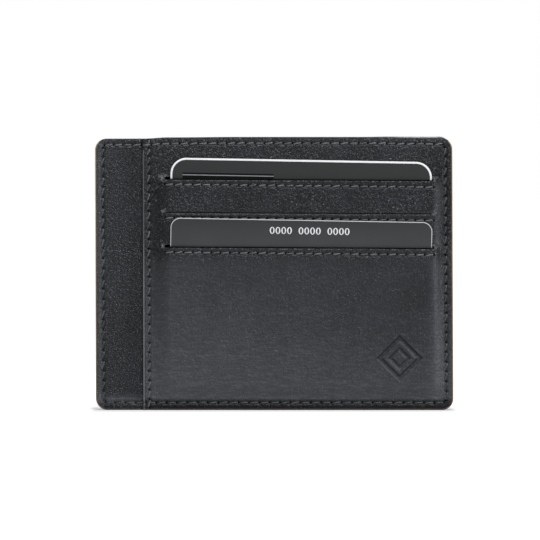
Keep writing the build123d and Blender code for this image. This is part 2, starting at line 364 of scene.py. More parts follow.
def closed_faces(quads, total):
    """Faces of two skins over the same grid and of the rim that joins them, and the rim's count."""
    a, b = free_edges(quads, total)
    rim = np.stack([b, a, a + total, b + total], -1)
    return np.concatenate([quads, quads[:, ::-1] + total, rim]), len(rim)


def sheet(name, columns, bands, outer, inner, materials, body, slot, replaced=(), joined=None, flip=False,
          masks=None, inner_only=()):
    """A closed sheet of leather or cloth. outer and inner give the (x, depth, z) of its two skins at
    (u, v, band); bands are the stretches of v that slots part; joined marks the columns where one
    band runs on into the next. The rim gets the last material. Masks become attributes of both
    skins, apart from those in inner_only."""
    index, points, total = [], [], 0
    for k, rows in enumerate(bands):
        grid = np.full((len(rows), len(columns)), -1)
        if k and joined is not None:
            grid[0, joined] = index[-1][-1, joined]
        fresh = grid < 0
        grid[fresh] = total + np.arange(fresh.sum())
        uu, vv = np.meshgrid(columns, rows)
        points.append(np.stack([uu[fresh], vv[fresh], np.full(fresh.sum(), k)]))
        total += fresh.sum()
        index.append(grid)
    u, v, band = np.concatenate(points, axis=1)
    band = band.astype(int)
    faces, rim_count = closed_faces(np.concatenate([grid_faces(grid) for grid in index]), total)
    if flip:
        faces = faces[:, ::-1]
    skins = []
    for skin in (outer, inner):
        x, depth, z = skin(u, v, band)
        skins.append(np.stack([x, FACE_Y - depth, z], -1))
    slots = np.zeros(len(faces))
    slots[-rim_count:] = len(materials) - 1
    attributes = {}
    for key, mask in (masks or {}).items():
        strength = mask(u, v, band)
        attributes[key] = np.concatenate([strength * (key not in inner_only), strength])
    mesh_object(name, np.concatenate(skins), faces, materials, body, slot, replaced, slots, attributes)


# ------------------------------------------------------------------ front panel
# the swelling over the pockets rises from each foot to each top
SIDE_FOOT, SIDE_TOP = SIDE_SEAM_U + 0.4, SLOT_LEFT + 2.2
RIGHT_TOP, RIGHT_FOOT = SLOT_RIGHT - 0.6, RIGHT - SEAM_INSET - 0.2
BOTTOM_FOOT, BOTTOM_TOP = 3.3, 8.2
TOP_FOOT = 85.5
LIP_GAP = 0.3
LIP_GAPS = [LIP_GAP, 0.08, LIP_GAP]  # the slot that holds no card is nearly shut
LIP_REACH = 0.8  # how far from a slot its lips part
EMPTY_SAG, EMPTY_SAG_REACH = 0.32, 1.6  # that slot, with no card to hold it up, hangs a little
LIP_ROUND = 0.3
EDGE_ROUND = 0.35
SAG = 0.0058  # the slots drop a little towards the right
SKIN_GAP = 0.01  # keeps sheets that lie on each other apart


def slot_opening(u):
    """0 outside the slots' ends, rising to 1 just inside them."""
    return smooth(np.minimum(u - SLOT_LEFT, SLOT_RIGHT - u) / 0.8)


def band_rears(v):
    apron = APRON_HIGH + (v - SLOTS[0] + PROBE) * APRON_SLOPE
    top = TOP_SWELL * smooth((TOP_FOOT - v) / (TOP_FOOT - SLOTS[2]))
    return apron, np.full_like(v, BAND_B), np.full_like(v, BAND_A), top


def side_swell(u):
    """The share of its full depth that the swelling has between the two side seams."""
    rising = ease((u - SIDE_FOOT) / (SIDE_TOP - SIDE_FOOT))
    return rising * ease((RIGHT_FOOT - u) / (RIGHT_FOOT - RIGHT_TOP))


def front_base(u, v, band):
    """Depth of the front panel's rear face: its swelling over the pockets and cards."""
    rears = band_rears(v)
    outside = np.maximum(0.0, np.maximum(SLOT_LEFT - u, u - SLOT_RIGHT))
    width = 0.35 + 1.1 * outside
    whole = rears[0]
    for k, slot in enumerate(SLOTS):
        whole = mix(whole, rears[k + 1], smooth((v - slot + width) / (2 * width)))
    own = np.choose(band, rears)
    swell = mix(whole, own, slot_opening(u))
    bottom = smooth((v - BOTTOM_FOOT) / (BOTTOM_TOP - BOTTOM_FOOT))
    return swell * side_swell(u) * bottom


EMBLEM_U, EMBLEM_V = 40.9, 16.9
EMBLEM_HALF, EMBLEM_DEPTH = 7.2, 0.50
EMBLEM_LINES = (EMBLEM_HALF - 0.6, EMBLEM_HALF * 0.42)  # the outline and the lozenge inside it
WALL_WIDTH = 0.16


def emblem_spread(u, v):
    return np.abs(u - EMBLEM_U) + np.abs(v - EMBLEM_V)


def emblem_lines(u, v):
    """Distances to the middles of the emblem's two pressed lines."""
    return (np.abs(emblem_spread(u, v) - line) / math.sqrt(2) for line in EMBLEM_LINES)


def emblem_walls(u, v):
    """The pressed lines' walls: those that face down and stay dark, and those that catch the light."""
    outline, core = emblem_lines(u, v)
    walls = np.maximum(bell((outline - 0.65) / WALL_WIDTH), bell((core - 0.5) / WALL_WIDTH))
    spread = emblem_spread(u, v)
    line = np.where(spread > EMBLEM_HALF * 0.68, *EMBLEM_LINES)
    upward = (v - EMBLEM_V) * (line - spread) > 0
    return walls * ~upward, walls * upward


def emblem_relief(u, v):
    """The pressed lines, and the leather that swells up beside them."""
    outline, core = emblem_lines(u, v)
    groove = np.maximum(smooth((0.85 - outline) / 0.4), smooth((0.70 - core) / 0.4))
    past = emblem_spread(u, v) - EMBLEM_HALF
    beside = np.maximum(bell((past - 0.75) / 0.5), bell((past + 2.2) / 0.5))
    return 0.14 * beside - EMBLEM_DEPTH * groove


def lip_distance(v, band):
    """Distance to the nearest slot edge of the band that a point belongs to."""
    below = np.array([-1e3] + list(SLOTS))[band]
    above = np.array(list(SLOTS) + [1e3])[band]
    return np.minimum(v - below, above - v)


SLOT_ENDS = [(end, slot) for slot in SLOTS for end in (SLOT_LEFT, SLOT_RIGHT)]


def pucker_spread(u, v, end, slot):
    """Distance from a slot's end, in parts of the size of its pucker; the top left one is largest."""
    size = 1.5 if (end, slot) == (SLOT_LEFT, SLOTS[2]) else 1.0
    return np.hypot((u - end) / (0.9 * size), (v - slot) / (0.7 * size))


def pucker_highlights(u, v):
    """Painted highlights on the tips of the puckers at the slots' ends, broken up."""
    tips = sum(bell(pucker_spread(u + 0.25, v, end, slot) / 0.75) for end, slot in SLOT_ENDS)
    return tips * np.clip(0.5 + 0.9 * waves(u, v, 0.9, 31), 0, 1)


def uneven(u, v, *kinds):
    """Soft undulation of the hide, from coarse to fine, each kind a (height, size, seed)."""
    return sum(height * waves(u, v, size, seed) for height, size, seed in kinds)


def front_relief(u, v, band, holes=True):
    opening = slot_opening(u)
    relief = perimeter_relief(u, v, holes) + side_row.relief(u, v, holes)
    for k, row in enumerate(slot_rows):
        relief += row.relief(u, v, holes) * (band == k)
    relief += 0.10 * bell((u - FRONT_LEFT - 0.9) / 0.6)
    relief += emblem_relief(u, v)
    # the seam turns the upper right corner over a slack fold
    fold = np.hypot(u - RIGHT + 4.9, v - HEIGHT + 5.2)
    relief -= 0.16 * bell((fold - 3.0) / 0.4) * smooth((v - HEIGHT + 7) / 2)
    # the strip between a slot and its seam swells a little, and every slot end puckers
    for k, slot in enumerate(SLOTS):
        relief += 0.12 * bell((v - slot + 0.75) / 0.4) * opening * (band == k)
    for end, slot in SLOT_ENDS:
        spread = pucker_spread(u, v, end, slot)
        relief += 0.32 * bell(spread) - 0.12 * bell((spread - 1.8) / 0.5)
    return relief + uneven(u, v, (0.05, 22, 3), (0.018, 5, 4), (0.006, 1.6, 5))


def sagged(u, v):
    """Height of a point once the slots have sagged towards the right."""
    pull = smooth((v - 25) / 25) * smooth((HEIGHT - 2 - v) / 10)
    return v - SAG * (u - SLOT_MID) * pull


def front_place(u, v, band):
    return round_corners(u, sagged(u, v + lip_shift(v, band) * slot_opening(u)))


def front_outer(u, v, band, holes=True):
    depth = LEATHER + front_base(u, v, band) + front_relief(u, v, band, holes)
    depth -= rounding(edge_distance(u, v), EDGE_ROUND)
    depth -= rounding(u - FRONT_LEFT, EDGE_ROUND)
    depth -= rounding(lip_distance(v, band), LIP_ROUND) * slot_opening(u)
    x, z = front_place(u, v, band)
    return x, depth, z


def front_inner(u, v, band):
    x, z = front_place(u, v, band)
    return x, front_base(u, v, band) + SKIN_GAP, z


def lip_shift(v, band):
    """How far up a slot's lips move: they part by its gap, and the empty slot hangs."""
    shift = -EMPTY_SAG * bell((v - SLOTS[1]) / EMPTY_SAG_REACH)
    for k, slot in enumerate(SLOTS):
        parted = LIP_GAPS[k] / 2 * bell((v - slot) / LIP_REACH)
        shift += parted * (band == k + 1) - parted * (band == k)
    return shift


# ------------------------------------------------------------------ materials
def grey(level):
    return (level, level, level, 1)


def tint(tone, share=1.0):
    return (*[c * share for c in tone], 1)


class Nodes:
    """Adds nodes to an emptied tree. An input is a value, or the socket that feeds it."""

    def __init__(self, tree):
        self.tree = tree
        tree.nodes.clear()

    def feed(self, node, inputs):
        for key, value in inputs.items():
            if isinstance(value, bpy.types.NodeSocket):
                self.tree.links.new(value, node.inputs[key])
            else:
                node.inputs[key].default_value = value

    def add(self, kind, inputs=None, **settings):
        node = self.tree.nodes.new("ShaderNode" + kind)
        for key, value in settings.items():
            setattr(node, key, value)
        self.feed(node, inputs or {})
        return node

    def number(self, operation, a, b=0.0, clamp=False):
        return self.add("Math", {0: a, 1: b}, operation=operation, use_clamp=clamp).outputs[0]

    def times(self, a, b):
        return self.number("MULTIPLY", a, b)

    def plus(self, a, b):
        return self.number("ADD", a, b)

    def inverse(self, a):
        return self.number("SUBTRACT", 1.0, a)

    def vector(self, operation, a, b=(0, 0, 0), output="Vector"):
        return self.add("VectorMath", {0: a, 1: b}, operation=operation).outputs[output]

    def blend(self, share, a, b):
        """A colour that goes from a to b as share goes from 0 to 1."""
        first, second = 6, 7  # the sockets of a Mix node's two colours
        return self.add("Mix", {0: share, first: a, second: b}, data_type="RGBA").outputs[2]

    def layers(self, color, *coats):
        """A colour with coats laid over it, each a (share, colour)."""
        for share, coat in coats:
            color = self.blend(share, color, coat)
        return color

    def ramp(self, value, stops):
        made = self.add("ValToRGB", {"Fac": value})
        elements = made.color_ramp.elements
        while len(elements) < len(stops):
            elements.new(0.5)
        for element, (position, color) in zip(elements, stops):
            element.position = position
            element.color = color
        return made.outputs["Color"]

    def fade(self, value, start, end, first=0.0, last=1.0):
        """Goes from first to last as the value goes from start to end."""
        return self.ramp(value, [(start, grey(first)), (end, grey(last))])


class Look(Nodes):
    """A new material with one surface and the textures that the materials here are made of."""

    def __init__(self, name):
        self.material = bpy.data.materials.new(name)
        self.material.use_nodes = True
        super().__init__(self.material.node_tree)
        self.surface = self.add("BsdfPrincipled")
        self.add("OutputMaterial", {"Surface": self.surface.outputs["BSDF"]})
        self.place = self.add("TexCoord").outputs["Object"]

    def noise(self, scale, detail=2.0, roughness=0.5, place=None, output="Fac"):
        inputs = {"Vector": place or self.place, "Scale": scale, "Detail": detail, "Roughness": roughness}
        return self.add("TexNoise", inputs).outputs[output]

    def mask(self, key):
        """A number that the mesh carries at its vertices."""
        return self.add("Attribute", attribute_name=key).outputs["Fac"]

    def crevice(self, reach):
        """1 deep in folds, gaps and under overhanging edges, 0 on open faces."""
        sky = self.add("AmbientOcclusion", {"Distance": reach}, samples=6).outputs["AO"]
        return self.fade(sky, 0.25, 0.75, 1.0, 0.0)

    def finished(self, color, rough, bump=None, **others):
        """The material, once its surface is fed; bump is (height, strength, distance in metres)."""
        self.feed(self.surface, {"Base Color": color, "Roughness": rough})
        if bump:
            relief = self.add("Bump", dict(zip(("Height", "Strength", "Distance"), bump)))
            self.feed(self.surface, {"Normal": relief.outputs["Normal"]})
        names = {"shine": "Specular IOR Level", "sheen": "Sheen Weight"}
        self.feed(self.surface, {names[key]: value for key, value in others.items()})
        return self.material


BLACK = (0.0085, 0.0088, 0.0105)
# painted sheen, brushed sheen streaks, painted glints, dust with glints, painted highlights and a painted
# edge highlight
PAINTED_SHEEN = (0.068, 0.0685, 0.075, 1)
BRUSHED_SHEEN = (0.11, 0.11, 0.118, 1)
GLINT = (0.16, 0.162, 0.172, 1)
DUST_AND_GLINT = (0.40, 0.40, 0.41, 1)
PAINTED_HIGHLIGHT = (0.24, 0.24, 0.25, 1)
EDGE_HIGHLIGHT = (0.80, 0.80, 0.79, 1)
RAW_EDGE = (0.55, 0.36, 0.18, 1)


def leather_material():
    """Fine-grained black leather: pebbled grain, pores, uneven sheen and a warm burnished rim, with
    painted sheen, glints, highlights and shade.
    """
    look = Look("black_leather")
    warp = look.vector("MULTIPLY", look.noise(900.0, output="Color"), (0.0006, 0.0006, 0.0006))
    warped = look.vector("ADD", look.place, warp)
    pebbles = look.add("TexVoronoi", {"Vector": warped, "Scale": 1150.0}, feature="DISTANCE_TO_EDGE")
    creases = look.fade(pebbles.outputs["Distance"], 0.0, 0.25)
    pores = look.noise(2900.0, roughness=0.6)
    soft = look.noise(1000.0)
    cloudy = look.noise(60.0, 4.0)
    streaks = look.noise(1500.0, 3.0, place=look.vector("MULTIPLY", look.place, (0.22, 1.0, 1.0)))
    polish_and_sheen_share = look.mask("polish_and_sheen")
    # how much of the painted glints and dust shows: less where the grain is handled
    glint_and_dust_share = look.inverse(look.times(look.mask("handled"), 0.72))
    # height of the grain, in parts of its bump distance
    height = look.plus(look.times(creases, 0.30), look.times(pores, 0.40))
    height = look.plus(look.plus(height, look.times(soft, 1.9)), look.times(streaks, polish_and_sheen_share))
    # cloudy dye; painted sheen, with brushed streaks, on the polished field; painted glints, and dust with
    # glints, on the grain's tips; painted shade on the emblem's walls that face down; painted highlights on
    # edges, pucker tips and lips; a warm rim; and painted shade in seams, along the slots' lips, at needle
    # holes and in crevices
    color = look.layers(
        look.blend(look.fade(cloudy, 0.36, 0.64), tint(BLACK, 0.5), tint(BLACK, 1.5)),
        (look.times(creases, 0.5), tint(BLACK, 1.4)),
        # painted sheen on the polished field, with brushed streaks of sheen
        (look.times(polish_and_sheen_share, 0.9), PAINTED_SHEEN),
        (look.times(look.fade(streaks, 0.45, 0.65, last=0.45), polish_and_sheen_share), BRUSHED_SHEEN),
        # painted glints on the grain's tips, and dust with painted glints
        (look.times(look.fade(pores, 0.56, 0.69), glint_and_dust_share), GLINT),
        (look.times(look.fade(pores, 0.695, 0.725), glint_and_dust_share), DUST_AND_GLINT),
        # painted shade on the emblem's walls that face down
        (look.times(look.mask("pressed"), 0.8), tint(BLACK, 0.3)),
        # painted highlights on the front's left edge, the pucker tips and the slots' lips
        (look.mask("painted_highlight"), PAINTED_HIGHLIGHT),
        # painted highlight on the edge inside the note pocket's mouth
        (look.mask("edge_highlight"), EDGE_HIGHLIGHT),
        (look.mask("rim"), RAW_EDGE),
        # painted shade in the seams' valleys
        (look.times(look.mask("valley"), 0.35), tint(BLACK, 0.3)),
    )
    # painted shade: needle holes, slot lips, the shade mask and crevices turn near black and lose their
    # shine
    painted_shade = look.number("MAXIMUM", look.mask("hole"), look.mask("lip"))
    for other in (look.mask("shade"), look.crevice(0.0012)):
        painted_shade = look.number("MAXIMUM", painted_shade, other)
    color = look.blend(painted_shade, color, tint(BLACK, 0.1))
    rough = look.plus(look.plus(look.times(pores, 0.20), 0.18), look.times(cloudy, 0.12))
    shine = look.times(look.inverse(painted_shade), 0.42)
    return look.finished(color, rough, (height, 1.0, 0.00016), shine=shine)


def edge_material():
    """The painted, rubbed edge of the leather, with fibres showing through."""
    look = Look("painted_edge")
    fibres = look.noise(2200.0, 5.0, 0.7)
    color = look.ramp(fibres, [(0.35, (0.060, 0.040, 0.022, 1)), (0.75, (0.20, 0.135, 0.075, 1))])
    return look.finished(color, 0.5, (fibres, 0.5, 0.00006))


def thread_material():
    """Waxed black thread with its fine twisted fibres, greyer where a highlight is painted on it."""
    look = Look("waxed_thread")
    fibres = look.noise(9000.0, 3.0)
    fresh = look.fade(fibres, 0.3, 0.7, 0.006, 0.022)
    # the grey of the painted highlight
    rubbed = look.ramp(fibres, [(0.3, (0.06, 0.06, 0.063, 1)), (0.7, (0.17, 0.17, 0.178, 1))])
    color = look.blend(look.mask("thread_highlight"), fresh, rubbed)
    return look.finished(color, 0.36, (fibres, 0.6, 0.00003), shine=0.6, sheen=0.2)


def cloth_material(name, tone, threads_per_metre):
    """A plain weave: warp and weft that cross over and under each other."""
    look = Look(name)
    warp, weft = (
        look.add("TexWave", {"Vector": look.place, "Scale": threads_per_metre, "Distortion": 0.4},
                 wave_type="BANDS", bands_direction=direction).outputs["Fac"]
        for direction in "XZ"
    )
    weave = look.times(warp, weft)
    color = look.ramp(weave, [(0.0, tint(tone, 0.4)), (1.0, tint(tone, 1.6))])
    return look.finished(color, 0.75, (weave, 0.7, 0.00008), sheen=0.25)


def card_material(name, face, rim, rim_width, top_share=1.0):
    """A printed card: a grey face with a pale rim that follows its outline; top_share is how much of
    the face's tone is left at the card's top edge."""
    look = Look(name)
    speck = look.noise(2500.0, 3.0)
    top = look.fade(look.mask("fallen"), 0.0, 0.16, 1.0, 0.0)
    shade = look.layers(
        look.blend(look.noise(90.0), tint(face, 0.7), tint(face, 1.3)),
        (look.times(speck, 0.5), tint(face, 0.6)),
        (top, tint(face, top_share)),
    )
    inside = look.number("GREATER_THAN", look.mask("inward"), rim_width)
    # painted shade where the leather stands close in front of the card
    painted_crevice_shade = look.crevice(0.0016)
    color = look.blend(painted_crevice_shade, look.blend(inside, tint(rim), shade), tint(face, 0.05))
    rough = look.plus(look.times(speck, 0.1), 0.5)
    return look.finished(color, rough, (speck, 0.15, 0.00002), shine=look.times(look.inverse(painted_crevice_shade), 0.5))


def ink_material(name, level, rough=0.4, shine=0.5):
    """Ink printed on a card, a little uneven."""
    look = Look(name)
    color = look.fade(look.noise(4000.0), 0.3, 0.7, level * 0.8, level)
    return look.finished(color, rough, shine=shine)


leather, edge_paint, thread = leather_material(), edge_material(), thread_material()
lining_cloth = cloth_material("lining_weave", (0.016, 0.016, 0.018), 900.0)
pocket_cloth = cloth_material("pocket_weave", (0.012, 0.012, 0.013), 1400.0)
upper_board = card_material("upper_card_print", (0.018, 0.018, 0.017), (0.92, 0.92, 0.91), 0.62)
lower_board = card_material("lower_card_print", (0.052, 0.052, 0.053), (0.56, 0.56, 0.56), 0.26, 0.5)
white_ink = ink_material("white_ink", 0.95)
pale_ink = ink_material("pale_ink", 0.30)
black_ink = ink_material("black_ink", 0.004, 0.6, 0.12)

# ------------------------------------------------------------------ build: front panel
FINE, COARSE = 0.24, 0.27  # grid spacings over the open leather
OUTLINE_STEP, LIP_STEP = 0.09, 0.07  # and over EDGE_BAND from the outline, and beside the slots
EDGE_BAND = 0.45
front_columns = graded([
    (FRONT_LEFT, OUTLINE_STEP), (FRONT_LEFT + EDGE_BAND, 0.28), (SIDE_SEAM_U + 1.2, COARSE),
    (SLOT_LEFT - 1.2, FINE), (SLOT_LEFT, 0.16), (SLOT_LEFT + 0.96, COARSE), (SLOT_RIGHT - 0.96, 0.16),
    (SLOT_RIGHT, FINE), (RIGHT - 1.0, 0.28), (RIGHT - EDGE_BAND, OUTLINE_STEP), (RIGHT, 1),
])


def lip_rows(low, high):
    """Rows of a band, closer together along its slots, its seams and the outline."""
    lip, seam = 0.42, 3.6
    return graded([
        (low, LIP_STEP), (low + lip, FINE), (low + seam, COARSE),
        (high - seam, FINE), (high - lip, LIP_STEP), (high, 1),
    ])


def lip_shade_and_highlight(v):
    """The nearly shut slot has hardly any painted shade or highlight along its lips."""
    return mix(0.15, 1.0, smooth((np.abs(v - SLOTS[1]) - 1) / 0.5))


# painted shade along the slots' lips
def painted_lip_shade(u, v, band):
    return smooth((0.45 - lip_distance(v, band)) / 0.2) * slot_opening(u) * lip_shade_and_highlight(v)


def front_highlights(u, v, band):
    """Painted highlights: on the front panel's edge beside the strip, on the tips of the puckers, and,
    broken up, along each slot's lips.
    """
    edge = bell((u - FRONT_LEFT - 0.28) / 0.2) * smooth((HEIGHT - 3 - v) / 2)
    edge = edge * mix(1.0, 0.6, smooth((v - 40) / 20))
    lip = bell((lip_distance(v, band) - 0.6) / 0.14) * slot_opening(u) * lip_shade_and_highlight(v)
    edge_highlight = lip * np.clip(waves(u, v, 0.8, 33) * 1.6 - 1.0, 0, 1)
    return np.clip(edge + 1.6 * pucker_highlights(u, v) + edge_highlight, 0, 1)


def leather_sheet(name, columns, bands, outer, inner, masks, node, seams=(), **more):
    """A leather sheet, with painted shade at its needle holes and in its seams' valleys, and a bare edge.
    Each mask is a function of a place and its band."""
    rows = outline_rows + list(seams)
    masks = masks | {
        "hole": lambda u, v, band: np.clip(sum(row.holes(u, v) for row in rows), 0, 1),
        "valley": lambda u, v, band: np.clip(sum(row.valley(u, v) for row in rows), 0, 1),
        "rim": lambda u, v, band: bell(border_distance(u, v) / RIM_WIDTH),
    }
    sheet(name, columns, bands, outer, inner, [leather, edge_paint], "holder", "panel_leather", [node],
          masks=masks, **more)


band_limits = [0.0, *SLOTS, HEIGHT]
leather_sheet(
    "front_leather", front_columns, [lip_rows(low, high) for low, high in zip(band_limits, band_limits[1:])],
    front_outer, front_inner,
    {
        # painted sheen, and a painted highlight on the emblem's walls that face up
        "polish_and_sheen": lambda u, v, band: np.clip(polish_and_sheen(u, v) + 0.7 * emblem_walls(u, v)[1], 0, 1),
        # painted shade on the emblem's walls that face down
        "pressed": lambda u, v, band: emblem_walls(u, v)[0],
        # painted shade along the slots' lips
        "lip": painted_lip_shade,
        # painted highlights on the front's left edge, the pucker tips and the slots' lips
        "painted_highlight": front_highlights,
        "shade": shade,
        # the rest of the front is handled too, if less, and shows fewer painted glints and dust
        "handled": lambda u, v, band: mix(0.45, 1.0, handled(u, v)),
    },
    "front_panel", slot_rows + [side_row],
    joined=(front_columns <= SLOT_LEFT + 1e-6) | (front_columns >= SLOT_RIGHT - 1e-6),
)

# ------------------------------------------------------------------ build: inner panel
UNDER_FRONT = -0.06  # depth of the inner panel where the front panel covers it


def strip_relief(u, v, holes=True):
    relief = perimeter_relief(u, v, holes) + uneven(u, v, (0.03, 18, 7), (0.012, 4, 8), (0.006, 1.5, 9))
    relief -= 0.10 * bell((u - FRONT_LEFT) / 1.2)
    return np.where(u < FRONT_LEFT + 0.5, relief, UNDER_FRONT)


def inner_outer(u, v, band):
    x, z = round_corners(u, v)
    return x, strip_relief(u, v) - rounding(edge_distance(u, v), EDGE_ROUND), z


def inner_inner(u, v, band):
    x, z = round_corners(u, v)
    return x, np.full_like(u, SKIN_GAP - LEATHER), z


strip_columns = graded([
    (LEFT, OUTLINE_STEP), (LEFT + EDGE_BAND, 0.28), (LEFT + 4.2, 0.5), (FRONT_LEFT - 1.0, 0.3),
    (FRONT_LEFT + 1.2, 2.2), (RIGHT - 3.6, 0.5), (RIGHT - EDGE_BAND, 0.12), (RIGHT, 1),
])
full_rows = graded([
    (0.0, OUTLINE_STEP), (EDGE_BAND, 0.28), (4.2, 0.5), (HEIGHT - 4.2, 0.28),
    (HEIGHT - EDGE_BAND, OUTLINE_STEP), (HEIGHT, 1),
])
leather_sheet("inner_leather", strip_columns, [full_rows], inner_outer, inner_inner,
              {"polish_and_sheen": strip_polish_and_sheen, "shade": shade}, "inner_panel")

# ------------------------------------------------------------------ build: back panel
BACK_LEATHER = 1.0
NOTE_ROOM = (BACK_Y - FACE_Y) - LEATHER - BACK_LEATHER
ROOM_FOOT, ROOM_TOP = 3.1, 5.6


def room(u, v):
    """0 along the sewn borders, 1 over the note pocket, which is open at the top."""
    return smooth((border_distance(u, v) - ROOM_FOOT) / (ROOM_TOP - ROOM_FOOT))


def back_front(u, v):
    """Depth of the back panel's front face, behind the note pocket."""
    return -(LEATHER + NOTE_ROOM * room(u, v)) - SKIN_GAP


def back_outer(u, v, band, holes=True):
    relief = perimeter_relief(u, v, holes) + uneven(u, v, (0.05, 26, 11), (0.012, 5, 12), (0.006, 1.5, 13))
    behind = LEATHER + BACK_LEATHER + NOTE_ROOM * room(u, v) + relief
    behind -= rounding(edge_distance(u, v), EDGE_ROUND)
    x, z = round_corners(u, v)
    return x, -behind, z + back_rise(u, v)


def back_rise(u, v):
    """The back's top edge stands a little higher than the front's towards the right."""
    return 0.42 * smooth((u - 25) / 22) * smooth((RIGHT - 1 - u) / 3) * smooth((v - HEIGHT + 6) / 6)


def back_inner(u, v, band):
    x, z = round_corners(u, v)
    return x, back_front(u, v), z + back_rise(u, v)


def back_edge_highlight(u, v, band):
    """A painted highlight along the edge inside the note pocket's mouth."""
    return bell((HEIGHT - v) / 0.9) * smooth((u - 20) / 18)


back_columns = graded([
    (LEFT, OUTLINE_STEP), (LEFT + EDGE_BAND, 0.28), (LEFT + 6.0, 0.5), (RIGHT - 6.0, 0.28),
    (RIGHT - EDGE_BAND, OUTLINE_STEP), (RIGHT, 1),
])
leather_sheet("back_leather", back_columns, [full_rows], back_outer, back_inner, {"edge_highlight": back_edge_highlight},
              "back_panel", flip=True, inner_only=("edge_highlight",))

# ------------------------------------------------------------------ build: threads
THREAD = 0.46
RINGS, SPOKES = 15, 12
STITCH_SHARE = 0.86  # of the pitch that a stitch spans
LIFT, DIVE = 0.08, 0.42  # how far a stitch's middle lies off the leather, and its ends go down
TWIST_DEPTH, PLIES, TWIST_RATE = 0.13, 3, 2.6  # the rate is in radians per mm
TAPER, FLATNESS = 0.25, 0.85
TURN_SPREAD, LIFT_SPREAD = 0.05, 0.015  # how much the stitches differ


def tube_faces():
    """Faces of one closed tube of rings."""
    tube = ring_faces(RINGS, SPOKES)[:, [0, 3, 2, 1]]
    caps = np.array([[0, 3, 6, 9], [0, 1, 2, 3], [3, 4, 5, 6], [6, 7, 8, 9], [9, 10, 11, 0]])
    return np.concatenate([tube, caps, caps[:, ::-1] + (RINGS - 1) * SPOKES])


def stitches(rows, surface, side):
    """Tubes of twisted thread, one per stitch, that dive into the leather at both ends.
    surface(u, v) gives (x, depth, z) of the leather without its needle holes; side is 1 for thread
    on a forward face and -1 for thread on the back."""
    t = np.linspace(-1, 1, RINGS)
    theta = np.linspace(0, 2 * math.pi, SPOKES, endpoint=False)[None, :]
    vertices, thread_highlight = [], []
    draw = np.random.default_rng(21)
    for row in rows:
        reach = row.pitch / 2 * STITCH_SHARE
        for i in range(row.count):
            turn = row.slant + draw.normal(0, TURN_SPREAD)
            along = row.along * math.cos(turn) + row.across * math.sin(turn)
            across = np.array([-along[1], along[0]])
            middle = row.start + row.along * row.pitch * (i + 0.5)
            x, depth, z = surface(middle[0] + along[0] * t * reach, middle[1] + along[1] * t * reach)
            lift = LIFT + draw.normal(0, LIFT_SPREAD) - DIVE * t ** 4
            twist = PLIES * (theta - t[:, None] * reach * TWIST_RATE)
            radius = THREAD / 2 * (1 + TWIST_DEPTH * np.cos(twist)) * (1 - TAPER * t[:, None] ** 4)
            sideways, outwards = np.cos(theta) * radius, np.sin(theta) * radius * FLATNESS
            depth = depth[:, None] + side * (lift[:, None] + outwards)
            place = (x[:, None] + sideways * across[0], FACE_Y - depth, z[:, None] + sideways * across[1])
            vertices.append(np.stack(place, -1).reshape(-1, 3))
            thread_highlight.append(np.full(RINGS * SPOKES, row.thread_highlight * draw.uniform(0.4, 1.5)))
    return *copies(vertices, tube_faces()), np.concatenate(thread_highlight)


def front_surface(u, v):
    return front_outer(u, v, np.searchsorted(SLOTS, v), holes=False)


def outline_surface(u, v):
    """The leather that the perimeter seam runs on: the strip on the left, then the front panel."""
    x, z = round_corners(u, v)
    strip = (x, strip_relief(u, v, holes=False), z)
    return tuple(np.where(u < FRONT_LEFT, a, b) for a, b in zip(strip, front_surface(u, v)))


def back_surface(u, v):
    return back_outer(u, v, None, holes=False)


def thread_object(name, rows, surface, node, side=1):
    vertices, quads, thread_highlight = stitches(rows, surface, side)
    mesh_object(name, vertices, quads[:, ::side], [thread], "holder", "black_thread", [node],
                attributes={"thread_highlight": thread_highlight})


thread_object("perimeter_stitches", outline_rows + [knot_row], outline_surface, "front_perimeter_thread")
thread_object("side_seam_stitches", [side_row], front_surface, "side_seam_thread")
for name, row, tack_pair in zip(SLOT_NAMES, slot_rows, tacks):
    thread_object(name + "_slot_stitches", [row] + tack_pair, front_surface, name + "_slot_thread")
thread_object("back_stitches", outline_rows, back_surface, "back_perimeter_thread", side=-1)

# ------------------------------------------------------------------ build: cards
CARD_W, CARD_H, CARD_T = 85.6, 53.98, 0.5
CARD_BEVEL = 0.06
INK_T, INK_SUNK = 0.012, 0.02  # ink stands this far off the card, and reaches this far into it


class Card:
    """A card's own frame: s along its width, t up its height, n out of its face."""

    def __init__(self, name, joint):
        low, high = box_mm(name)
        self.name, self.center = name, (low + high) / 2
        axis = next(j["axis"] for j in frame["joints"] if j["name"] == joint)
        self.up = np.array(axis) / np.linalg.norm(axis)
        lean = math.atan2(-self.up[1], math.hypot(self.up[0], self.up[2]))
        turn = math.atan2(self.up[0], math.hypot(self.up[1], self.up[2]))
        sideways = math.sin(turn)
        self.right = np.array([math.cos(turn), sideways * math.sin(lean), -sideways * math.cos(lean)])
        self.out = np.array([0, -math.cos(lean), -math.sin(lean)])

    def place(self, s, t, n):
        s, t, n = (np.asarray(part)[..., None] for part in (s, t, n))
        return self.center + s * self.right + t * self.up + n * self.out

    def add(self, piece, vertices, faces, material, **more):
        body, slot = self.name, self.name + "_board"
        mesh_object(f"{body}_{piece}", vertices, faces, [material], body, slot, **more)


def card_lines(half, corner):
    """Grid lines over a card, closer together along its rim and round its corners."""
    last = corner + 0.2
    insets = np.array([0.0, 0.03, 0.12, 0.45, 0.75, 1.2, 3.0, last, *np.linspace(0, corner, 10)])
    middle = np.linspace(last - half, half - last, 9)
    return np.unique(np.round(np.concatenate([insets - half, half - insets, middle]), 4))


